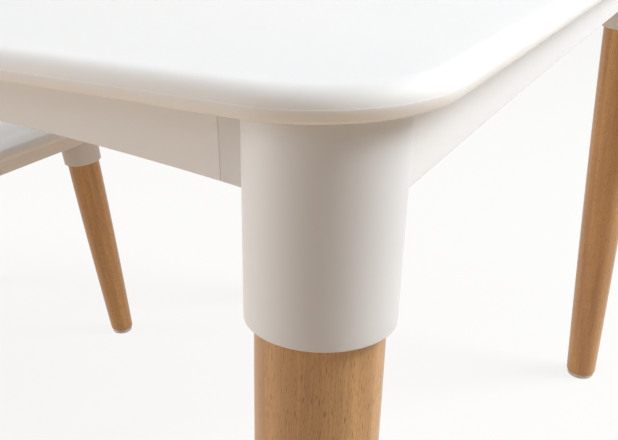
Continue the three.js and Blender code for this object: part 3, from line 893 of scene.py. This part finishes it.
class KIDSSET_OT_table_top(PieceOperator, bpy.types.Operator):
    """Table top with its moulded edge, and rib cells underneath"""

    bl_idname = "kids_set.table_top"
    bl_label = "Table top"

    def build(self, sizes):
        """The edge carried round the plan, a flat fill above, and a fill with a pocket per cell below."""
        table, plate = sizes.table, Plate("table")
        plan, base = plate.half, plate.base
        rings = edge_rings(sizes.edge, plate, table.corner_radius)
        above = fill([rings[-1][:, :2]], at_height(plate.rim))
        pockets, shells = [], [strip(rings), above]
        cells = (6, 4)
        floor = plate.rim - table.skin
        pitch = (2 * plan - 2 * table.rib_zone_inset + table.rib_wall) / cells
        draft, cell_corner = 0.0002, 0.003
        for i in range(cells[0]):
            for j in range(cells[1]):
                centre = -plan + table.rib_zone_inset + pitch * (i, j) + (pitch - table.rib_wall) / 2
                pocket = []
                for inset, z in ((0, base), (draft / 2, base + LEAD_IN), (draft, floor)):
                    cell = pitch - table.rib_wall - 2 * inset
                    outline = rounded_rectangle(*cell, cell_corner, 5, 3) + centre
                    pocket.append(at_height(z)(outline))
                shells += [strip(np.array(pocket)), fill([pocket[-1][:, :2]], at_height(floor))]
                pockets.append(pocket[0][:, :2])
        shells.append(fill([rings[0][:, :2], *pockets], at_height(base)))
        material = shared_material(
            "moulded_top", plastic, sizes.finishes.top, matt=(0.54, 0.64), wear=0.45, depth=0.9
        )
        add_piece("table_top", shells, material)


class KIDSSET_OT_aprons(PieceOperator, bpy.types.Operator):
    """Four aprons with an arched lower edge and a flange"""

    bl_idname = "kids_set.aprons"
    bl_label = "Aprons"

    def build(self, sizes):
        """A rounded wall with a flange along each side; the side aprons stop against the sockets."""
        table, plate = sizes.table, Plate("table")
        half, base = plate.half, plate.base
        pairs = wall_pairs(table.apron_wall, WALL_ROUNDING, table.apron_flange)
        span = half - table.corner_radius
        _, _, socket_top = socket_radii("table")
        wing_end = half[1] - table.inset_y - socket_top - table.wing_length - 0.4 * sizes.clearance
        material = shared_material("moulded_apron", plastic, sizes.finishes.apron, wear=0.2)
        for name, turn in (("back", 0), ("left", 90), ("front", 180), ("right", 270)):
            turn = math.radians(turn)
            if name in ("front", "back"):
                distance = half[1] - table.side_inset
                limits = socket_limits("table", turn, distance, sizes.clearance)
                lower = arch(base, table.side_slope, span[0])
            else:
                distance = half[0] - table.end_inset
                limits = at(-wing_end), at(wing_end)
                lower = arch(base, table.end_slope, span[1])
            shells = wall(pairs, lower, base - sizes.clearance, *limits)
            add_piece(f"table_apron_{name}", turned_shells(shells, turn, distance), material)


class KIDSSET_OT_sockets(PieceOperator, bpy.types.Operator):
    """Tapered leg sockets under the table and the seats"""

    bl_idname = "kids_set.sockets"
    bl_label = "Leg sockets"

    def build(self, sizes):
        """A cup as one ring-shaped surface: tapered outside, rounded rim, bore and bolt hole."""
        # The sockets' darker colour is painted shade, standing in for the dimmer light on the cups.
        material = shared_material(
            "moulded_socket", plastic, sizes.finishes.socket, matt=(0.40, 0.50), wear=0.15
        )
        for group, corner in LEGS:
            shells = self.cup(sizes, group, corner)
            if group == "table":
                shells += self.wing(sizes, corner)
            add_piece(f"{group}_socket_{corner}", shells, material)

    def cup(self, sizes, group, corner):
        """The cup, cut level a clearance under the plate."""
        origin, basis = leg_axis(group, corner)
        bore, rim, top = socket_radii(group)
        drop = leg_sizes(group).socket_drop
        level = origin[2] - sizes.clearance
        outer_round, inner_round = 0.00055, 0.0004
        lower = [
            *arc_profile((rim - outer_round, outer_round - drop), (outer_round,) * 2, 0, -90, 6),
            *arc_profile((bore + inner_round, inner_round - drop), (inner_round,) * 2, -90, -180, 4),
            (bore, -drop / 2),
            (bore, -sizes.crown),
        ]
        hole = sizes.bolt_radius + sizes.clearance
        rings = turned(lower, origin, basis)
        upper = turned([(top, 0), (hole, -sizes.crown), (hole, 0)], origin, basis)
        cut = cut_level(rings[0], upper[0], level)
        hole_cut = cut_level(upper[1], upper[2], level)
        side = between(cut, rings[0], 14)[:-1]
        return [strip(np.concatenate([side, rings, [upper[1], hole_cut, cut]]))]

    def wing(self, sizes, corner):
        """The short wing that carries the end apron's line on to the cup."""
        table, plate = sizes.table, Plate("table")
        half, base = plate.half, plate.base
        origin, _ = leg_axis("table", corner)
        side = np.sign(origin[0])
        turn = -side * math.pi / 2
        _, _, top = socket_radii("table")
        far = abs(origin[1]) - top - table.wing_length
        into_cup = 0.0041
        near = abs(origin[1]) - top + into_cup
        facing = -side * np.sign(origin[1])
        limits = sorted((facing * far, facing * near))
        lower = arch(base, table.end_slope, half[1] - table.corner_radius)
        pairs = wall_pairs(table.apron_wall, WALL_ROUNDING)
        shells = wall(pairs, lower, base - sizes.clearance, at(limits[0]), at(limits[1]), stations=9)
        return turned_shells(shells, turn, half[0] - table.end_inset)


class KIDSSET_OT_legs(PieceOperator, bpy.types.Operator):
    """Turned beech legs, tapering faster towards the floor"""

    bl_idname = "kids_set.legs"
    bl_label = "Turned legs"

    def build(self, sizes):
        """A turned profile, its radius r - (r - foot) u^power below the socket, cut level at the glide."""
        material = shared_material("turned_beech", beech, sizes.finishes)
        for number, (group, corner) in enumerate(LEGS):
            origin, basis = leg_axis(group, corner)
            rings = self.rings(sizes, group, origin, basis)
            leg = add_piece(f"{group}_leg_{corner}", [strip(rings)], material)
            self.mark_grain(leg.data, origin, basis, number)

    def rings(self, sizes, group, origin, basis):
        """The leg's rings, from the end of its bolt hole over its top and down to its level foot."""
        leg = leg_sizes(group)
        top = -sizes.crown - sizes.clearance
        chamfer, rounding, bolt_depth = 0.001, 0.0012, 0.036
        hole = sizes.bolt_radius + sizes.clearance
        head = [
            (1e-7, top - bolt_depth),
            (hole, top - bolt_depth),
            (hole, top),
            (leg.radius - chamfer, top),
            (leg.radius, top - chamfer),
            (leg.radius, -leg.socket_drop * 0.8),
        ]
        length = origin[2] / basis[2][2]
        share = np.linspace(0, 1, 40)
        radius = leg.radius - (leg.radius - leg.foot_radius) * share**sizes.taper_power
        heights = -leg.socket_drop - (length - leg.socket_drop) * share
        shaft = turned(np.stack([radius, heights], -1), origin, basis)
        floor = sizes.foot_height + sizes.clearance
        foot = cut_level(shaft[-2], shaft[-1], floor)
        shaft = between(shaft[0], foot, 39) + (shaft - between(shaft[0], shaft[-1], 39))
        kept = shaft[:-1][shaft[:-1, :, 2].min(1) > floor + 2 * rounding]
        centre = foot.mean(0)
        turn = np.radians(np.linspace(0, 90, 6))[:, None, None]
        inward = (centre - foot) / leg.foot_radius
        up = np.array([0, 0, rounding])
        ending = foot + inward * rounding * (1 - np.cos(turn)) + up * (1 - np.sin(turn))
        pole = np.broadcast_to(centre, foot.shape) + (foot - centre) * 1e-5
        return np.concatenate([turned(head, origin, basis), kept, ending, pole[None]])

    def mark_grain(self, mesh, origin, basis, number):
        """Each point's place along and across its own leg, turned and shifted so that legs differ."""
        places = np.empty(3 * len(mesh.vertices), np.float32)
        mesh.vertices.foreach_get("co", places)
        places = (places.reshape(-1, 3) - origin) @ basis.T
        shift = np.array([0.31, 0.17, 0.53])
        places = places @ turn_matrix(number * GOLDEN_ANGLE).T + shift * number
        attribute = mesh.attributes.new("grain_place", "FLOAT_VECTOR", "POINT")
        attribute.data.foreach_set("vector", places.astype(np.float32).ravel())


class KIDSSET_OT_glides(PieceOperator, bpy.types.Operator):
    """Glides under the legs"""

    bl_idname = "kids_set.glides"
    bl_label = "Glides"

    def build(self, sizes):
        """A low turned pad: a flat sole, a rounded edge and an upright side."""
        finish = {"matt": (0.5, 0.66), "texture": 1.0, "wear": 1.0, "sheen_depth": 0.08}
        material = shared_material("glide_plastic", plastic, sizes.finishes.glide, **finish)
        high = sizes.foot_height
        rounding, chamfer = 0.0009, 0.0003
        for group, corner in LEGS:
            radius = leg_sizes(group).foot_radius - sizes.foot_inset - GLIDE_EASE
            profile = [
                (1e-7, 0),
                (radius * 0.5, 0),
                *arc_profile((radius - rounding, rounding), (rounding, rounding), -90, 0, 6),
                (radius, high - chamfer),
                (radius - chamfer, high),
                (1e-7, high),
            ]
            node = f"{group}_foot_{corner}"
            origin = np.array([*middle(node), 0])
            add_piece(node, [strip(turned(profile, origin, np.eye(3), 48))], material)


class KIDSSET_OT_bolts(PieceOperator, bpy.types.Operator):
    """Zinc finish for the leg bolts"""

    bl_idname = "kids_set.bolts"
    bl_label = "Leg bolts"

    def build(self, sizes):
        """The bolts keep their CAD shape and take a zinc finish."""
        material = shared_material("zinc_plating", zinc, sizes.finishes.zinc)
        for group, corner in LEGS:
            bolt = frame["nodes"][f"{group}_leg_bolt_{corner}"]
            for slot in bolt.material_slots:
                slot.material = material


def dish_drop(chair, plan_half, plan):
    """How deep the seat's dish is at points of the plan.

    c is how far a point lies inside the dish's outline, whose corners keep their radius r as it
    shrinks: the smaller of a - |x| and b - |y|, or near a corner the root of (X + c)^2 + (Y + c)^2 = r^2.
    The depth is half of dish_depth times 1 - cos(pi c / reach).
    """
    half = plan_half - chair.dish_inset
    away = half - np.abs(plan)
    radius = chair.dish_radius
    x, y = (radius - away).T
    both = x + y
    corner = (-both + np.sqrt(np.maximum(both**2 - 2 * (x**2 + y**2 - radius**2), 0))) / 2
    straight = away.min(1)
    in_corner = (x + corner > 0) & (y + corner > 0)
    reach = np.clip(np.where(in_corner, corner, straight) / chair.dish_reach, 0, 1)
    return chair.dish_depth * (1 - np.cos(math.pi * reach)) / 2


def leaned(chair, plate, points):
    """Points turned back by the lean about the backrest's rear face at the height of the rim."""
    hinge, rim = chair.back_inset - plate.half[1], plate.rim
    y, z = points[..., 1] - hinge, points[..., 2] - rim
    cosine, sine = math.cos(chair.back_lean), math.sin(chair.back_lean)
    return np.stack([points[..., 0], hinge + y * cosine - z * sine, rim + y * sine + z * cosine], -1)


def bent(chair, plate, x, depth, z):
    """The bent slab: y = centre - sqrt((bend - depth)^2 - x^2), with depth measured from its rear."""
    centre = chair.back_inset - plate.half[1] + chair.back_bend
    return np.stack([x, centre - np.sqrt((chair.back_bend - depth) ** 2 - x**2), z + 0 * x], -1)


def tang_centre(chair, plate):
    """The distance from the backrest's middle to the middle of a tang."""
    half_width = plate.half[0] - chair.back_side_inset
    return half_width - chair.back_corner - chair.tang_fillet - chair.tang_width / 2


def tang_outline(chair, plate, side, grow, height):
    """A tang's section where the leaned slab passes a height, grown outwards, as a loop in plan."""
    loop = rounded_rectangle(
        chair.tang_width + 2 * grow, chair.back_thickness + 2 * grow, chair.back_round + grow, 6, 6
    )
    x = loop[:, 0] + side * tang_centre(chair, plate)
    points = bent(chair, plate, x, loop[:, 1] + chair.back_thickness / 2, 0.0)
    hinge = chair.back_inset - plate.half[1]
    cosine, sine = math.cos(chair.back_lean), math.sin(chair.back_lean)
    away = points[:, 1] - hinge
    up = (height - plate.rim - away * sine) / cosine
    return np.stack([points[:, 0], hinge + away * cosine - up * sine], -1)


def placed_chair(plate, shells):
    """Shells built about the floor under a seat, facing +Y, moved to the chair's own place."""
    centre = plate.centre
    facing = -np.sign(centre[1])
    return [(points * (facing, facing, 1) + (*centre, 0), faces) for points, faces in shells]


class KIDSSET_OT_seats(PieceOperator, bpy.types.Operator):
    """Dished seats with a skirt, ribs and sleeves for the backrest's tangs"""

    bl_idname = "kids_set.seats"
    bl_label = "Seats"

    def build(self, sizes):
        """The shared edge round the plan, a dished fill above, and walls between the sockets below."""
        material = shared_material("moulded_chair", plastic, sizes.finishes.chair, wear=0.35)
        for group in CHAIRS:
            plate = Plate(group)
            shells = self.dished_plate(sizes, plate) + self.sleeves(sizes, plate)
            shells = placed_chair(plate, shells + self.ribs(sizes, plate))
            add_piece(f"{group}_seat", shells + self.skirt(sizes, group, plate), material)

    def dished_plate(self, sizes, plate):
        """The plate with its dish and its two tang holes."""
        chair, base, grow = sizes.chair, plate.base, sizes.clearance
        rings = edge_rings(sizes.edge, plate, chair.corner_radius)

        def dished(plan):
            return np.column_stack([plan, plate.rim - dish_drop(chair, plate.half, plan)])

        near_rim = plate.rim - 0.0009
        above = [tang_outline(chair, plate, side, grow, near_rim) for side in (-1, 1)]
        below = [tang_outline(chair, plate, side, grow, base) for side in (-1, 1)]
        holes = [strip(np.array([dished(a), at_height(base)(b)])) for a, b in zip(above, below)]
        top = fill([rings[-1][:, :2], *above], dished, spacing=0.005)
        bottom = fill([rings[0][:, :2], *below], at_height(base))
        return [strip(rings), top, bottom, *holes]

    def sleeves(self, sizes, plate):
        """A ring-shaped surface between a tang's outline and the same one grown by the wall."""
        chair = sizes.chair
        low, high = plate.base - chair.skirt_depth, plate.base + SUNK
        bore, outside = sizes.clearance, sizes.clearance + chair.sleeve_wall
        section = ((bore, high), (bore, low), (outside, low), (outside, high), (bore, high))
        shells = []
        for side in (-1, 1):
            rings = [at_height(z)(tang_outline(chair, plate, side, grow, z)) for grow, z in section]
            shells.append(strip(np.array(rings)))
        return shells

    def ribs(self, sizes, plate):
        """Two ribs along each direction, sunk into the plate and the skirt."""
        chair, base = sizes.chair, plate.base
        low = base - chair.skirt_depth + chair.rib_rise
        pairs = wall_pairs(chair.skirt_wall, LEAD_IN)
        shells = []
        for turn, reach in zip((0, math.pi / 2), plate.half):
            reach = reach - chair.skirt_inset - SUNK
            for side in (-1, 1):
                distance = side * chair.rib_spacing + chair.skirt_wall / 2
                rib = wall(pairs, lambda x: low + 0 * x, base + SUNK, at(-reach), at(reach), stations=13)
                shells += turned_shells(rib, turn, distance)
        return shells

    def skirt(self, sizes, group, plate):
        """Four walls, each between two sockets."""
        chair, base = sizes.chair, plate.base
        low = base - chair.skirt_depth
        pairs = wall_pairs(chair.skirt_wall, WALL_ROUNDING)
        shells = []
        for quarter, reach in enumerate([*plate.half[::-1]] * 2):
            turn = quarter * math.pi / 2
            distance = reach - chair.skirt_inset
            limits = socket_limits(group, turn, distance, sizes.clearance)
            side = wall(pairs, lambda x: low + 0 * x, base + SUNK, *limits, stations=13)
            shells += turned_shells(side, turn, distance, (*plate.centre, 0))
        return shells


class KIDSSET_OT_backrests(PieceOperator, bpy.types.Operator):
    """Bent, leaning backrests with a hand slot, on two tangs"""

    bl_idname = "kids_set.backrests"
    bl_label = "Backrests"

    def build(self, sizes):
        """A rounded edge carried round the outline and the slot, with bent fills for the two faces."""
        material = shared_material("moulded_chair", plastic, sizes.finishes.chair, wear=0.35)
        for group in CHAIRS:
            plate = Plate(group)
            shells = placed_chair(plate, self.panel(sizes.chair, plate))
            add_piece(f"{group}_backrest", shells, material)

    def outline(self, chair, plate):
        """The panel's outline with its tangs, anticlockwise, as x and height."""
        width = plate.half[0] - chair.back_side_inset
        low, high = plate.rim + chair.back_gap, plate.rim + chair.back_rise
        foot = plate.base - chair.skirt_depth
        corner, fillet = chair.back_corner, chair.tang_fillet
        tip, run_in = chair.back_round + 0.0004, 0.01
        upright = np.linspace(low - fillet - run_in, foot + tip + run_in, 6)
        inner = tang_centre(chair, plate) - chair.tang_width / 2
        outer = inner + chair.tang_width
        right = np.concatenate(
            [
                [(0, low), (inner / 2, low), (inner - fillet * 1.4, low)],
                arc_profile((inner - fillet, low - fillet), (fillet, fillet), 90, 0, 10),
                np.column_stack([np.full(6, inner), upright]),
                arc_profile((inner + tip, foot + tip), (tip, tip), 180, 270, 6),
                arc_profile((outer - tip, foot + tip), (tip, tip), 270, 360, 6),
                np.column_stack([np.full(6, outer), upright[::-1]]),
                arc_profile((outer + fillet, low - fillet), (fillet, fillet), 180, 90, 10),
                arc_profile((width - corner, low + corner), (corner, corner), -90, 0, 18)[1:],
                np.column_stack([np.full(4, width), np.linspace(low + corner, high - corner, 6)[1:-1]]),
                arc_profile((width - corner, high - corner), (corner, corner), 0, 90, 18),
                np.column_stack([np.linspace(width - corner, 0, 12)[1:], np.full(11, high)]),
            ]
        )
        left = right[1:-1][::-1] * (-1, 1)
        return np.concatenate([right, left])

    def slot(self, chair, plate):
        """The hand slot's outline, clockwise, so that its material lies on its left too."""
        radius = chair.slot_height / 2 - 1e-6
        loop = rounded_rectangle(chair.slot_width, chair.slot_height, radius, 14, 14)
        height = plate.rim + chair.back_rise - chair.slot_drop - chair.slot_height / 2
        return (loop + (0, height))[::-1]

    def panel(self, chair, plate):
        """Both loops drawn in by r (1 - cos a) at the depth r (1 - sin a), from either face."""
        radius, thickness = chair.back_round, chair.back_thickness

        def placed(x, depth, z):
            return leaned(chair, plate, bent(chair, plate, x, depth, z))

        turn = np.radians(np.linspace(90, 0, 9))
        border = radius + 0.0008
        inset = np.append(border, radius * (1 - np.cos(turn)))
        depth = np.append(0, radius * (1 - np.sin(turn)))
        inset = np.append(inset, inset[::-1])
        depth = np.append(depth, thickness - depth[::-1])
        shells, faces = [], []
        for loop in (self.outline(chair, plate), self.slot(chair, plate)):
            along = np.roll(loop, -1, 0) - np.roll(loop, 1, 0)
            normal = np.stack([-along[:, 1], along[:, 0]], -1) / np.linalg.norm(along, axis=1)[:, None]
            drawn = loop + inset[:, None, None] * normal
            shells.append(strip(placed(drawn[..., 0], depth[:, None], drawn[..., 1])))
            faces.append(drawn[0])
        for side in (0.0, thickness):
            face = fill(faces, lambda plan: placed(plan[:, 0], side, plan[:, 1]), spacing=0.006)
            shells.append(face)
        return shells


class KIDSSET_OT_stage(PieceOperator, bpy.types.Operator):
    """Floor, soft studio light and camera"""

    bl_idname = "kids_set.stage"
    bl_label = "Stage"

    def build(self, sizes):
        """A plain floor, a pale surrounding, soft area lights and the camera."""
        stage = sizes.stage
        self.add_floor(stage)
        self.add_surrounding()
        self.add_light("key", stage.key_power, **KEY_LIGHT)
        self.add_light("fill", stage.fill_power, **FILL_LIGHT)
        self.add_camera(stage)
        bpy.context.scene.view_settings.view_transform = "Standard"

    def seen_or_mirrored(self, tree):
        """One where the camera looks straight at a surface, and a little less where it is mirrored."""
        path = tree.nodes.new("ShaderNodeLightPath")
        mirrored = math_node(tree, "MULTIPLY", path.outputs["Is Glossy Ray"], 0.8)
        return math_node(tree, "MAXIMUM", path.outputs["Is Camera Ray"], mirrored)

    def add_floor(self, stage):
        """A square of plain floor."""
        reach = 14.0
        corners = [(x * reach, y * reach, 0) for x, y in ((-1, -1), (1, -1), (1, 1), (-1, 1))]
        mesh = bpy.data.meshes.new("floor")
        mesh.from_pydata(corners, [], [(0, 1, 2, 3)])
        floor = bpy.data.objects.new("floor", mesh)
        bpy.context.scene.collection.objects.link(floor)
        material, tree, surface = new_material("pale_floor")
        seen = self.seen_or_mirrored(tree)
        shade = blend_colours(tree, seen, stage.floor_bounce, stage.floor)
        feed(tree, surface, {"Base Color": shade, "Roughness": 0.9, "Specular IOR Level": 0.1})
        white = {"Color": (1.0, 0.992, 0.98, 1), "Strength": 0.975}
        glow = put(tree, "ShaderNodeEmission", white)
        part = math_node(tree, "MULTIPLY", seen, 0.88)
        mixed = put(tree, "ShaderNodeMixShader", {0: part, 1: surface.outputs[0], 2: glow.outputs[0]})
        output = next(node for node in tree.nodes if node.type == "OUTPUT_MATERIAL")
        tree.links.new(mixed.outputs[0], output.inputs["Surface"])
        floor.data.materials.append(material)

    def add_surrounding(self):
        """A pale surrounding, whose light on the set is warm and dim low down and brighter overhead."""
        world = bpy.data.worlds.new("studio")
        bpy.context.scene.world = world
        world.use_nodes = True
        tree = world.node_tree
        tree.nodes.clear()
        seen = self.seen_or_mirrored(tree)
        direction = tree.nodes.new("ShaderNodeTexCoord").outputs["Generated"]
        height = put(tree, "ShaderNodeSeparateXYZ", {0: direction}).outputs[2]
        share = spread_out(tree, height, 0.10, 0.58)
        lit = blend_colours(tree, share, (0.05, 0.03, 0.018), (0.405, 0.385, 0.375))
        shown = blend_colours(tree, seen, lit, (0.93, 0.925, 0.92))
        background = put(tree, "ShaderNodeBackground", {"Color": shown, "Strength": 1.0})
        put(tree, "ShaderNodeOutputWorld", {"Surface": background.outputs[0]})

    def add_light(self, name, power, bearing, elevation, distance, size, tint):
        """A square light that faces the table's front left corner from a bearing and an elevation."""
        plate = Plate("table")
        target = Vector((*-plate.half, plate.base))
        bearing, elevation = math.radians(bearing), math.radians(elevation)
        level = math.cos(elevation)
        towards = Vector((level * math.cos(bearing), level * math.sin(bearing), math.sin(elevation)))
        place = target + distance * towards
        data = bpy.data.lights.new(name, "AREA")
        data.size = size
        data.energy = power
        data.color = tint
        light = bpy.data.objects.new(name, data)
        light.location = place
        light.rotation_euler = (target - place).to_track_quat("-Z", "Y").to_euler()
        bpy.context.scene.collection.objects.link(light)

    def add_camera(self, stage):
        """A camera close to the table's front left corner."""
        plate = Plate("table")
        centre = Vector((*(settings().table.corner_radius - plate.half), plate.base))
        bearing, pitch, roll = stage.camera_bearing, stage.camera_pitch, stage.camera_roll
        level = math.cos(pitch)
        ahead = Vector((math.cos(bearing) * level, math.sin(bearing) * level, -math.sin(pitch)))
        right = ahead.cross(Vector((0, 0, 1))).normalized()
        up = right.cross(ahead)
        right, up = (
            math.cos(roll) * right + math.sin(roll) * up,
            math.cos(roll) * up - math.sin(roll) * right,
        )
        data = bpy.data.cameras.new("camera")
        data.lens = stage.camera_lens
        data.sensor_width = 36
        data.clip_start = 0.01
        data.clip_end = 60
        camera = bpy.data.objects.new("camera", data)
        camera.matrix_world = Matrix.Translation(centre + Vector(stage.camera_offset)) @ Matrix(
            (right, up, -ahead)
        ).transposed().to_4x4()
        bpy.context.scene.collection.objects.link(camera)
        bpy.context.scene.camera = camera


OPERATORS = (
    KIDSSET_OT_stage,
    KIDSSET_OT_table_top,
    KIDSSET_OT_aprons,
    KIDSSET_OT_sockets,
    KIDSSET_OT_legs,
    KIDSSET_OT_glides,
    KIDSSET_OT_bolts,
    KIDSSET_OT_seats,
    KIDSSET_OT_backrests,
)


class KIDSSET_PT_sidebar(bpy.types.Panel):
    """Sizes, colours and pieces of the kids' table and chairs"""

    bl_idname = "KIDSSET_PT_sidebar"
    bl_label = "Kids table and chairs"
    bl_space_type = "VIEW_3D"
    bl_region_type = "UI"
    bl_category = "Kids Set"

    def draw(self, context):
        layout = self.layout
        sizes = context.scene.kids_set
        for operator in OPERATORS:
            layout.operator(operator.bl_idname)
        for group in ("edge", "table", "chair", "table_leg", "chair_leg", "finishes", "stage"):
            box = layout.box()
            values = getattr(sizes, group)
            box.label(text=sizes.bl_rna.properties[group].name)
            for key in values.__annotations__:
                box.prop(values, key)


CLASSES = (
    EdgeSizes,
    TableSizes,
    ChairSizes,
    LegSizes,
    Finishes,
    StageSettings,
    KidsSetSettings,
    *OPERATORS,
    KIDSSET_PT_sidebar,
)


def register():
    for item in CLASSES:
        bpy.utils.register_class(item)
    bpy.types.Scene.kids_set = bpy.props.PointerProperty(type=KidsSetSettings)


def unregister():
    del bpy.types.Scene.kids_set
    for item in reversed(CLASSES):
        bpy.utils.unregister_class(item)


def main():
    """Registers the add-on, gives the chairs' legs their own sizes and builds every piece in order."""
    register()
    chair_leg = bpy.context.scene.kids_set.chair_leg
    chair_leg.radius = 0.016
    chair_leg.foot_radius = 0.0115
    chair_leg.socket_wall = 0.0025
    chair_leg.socket_taper = 0.0007
    chair_leg.socket_drop = 0.042
    for operator in OPERATORS:
        prefix, name = operator.bl_idname.split(".")
        getattr(getattr(bpy.ops, prefix), name)()


if __name__ == "__main__":
    main()
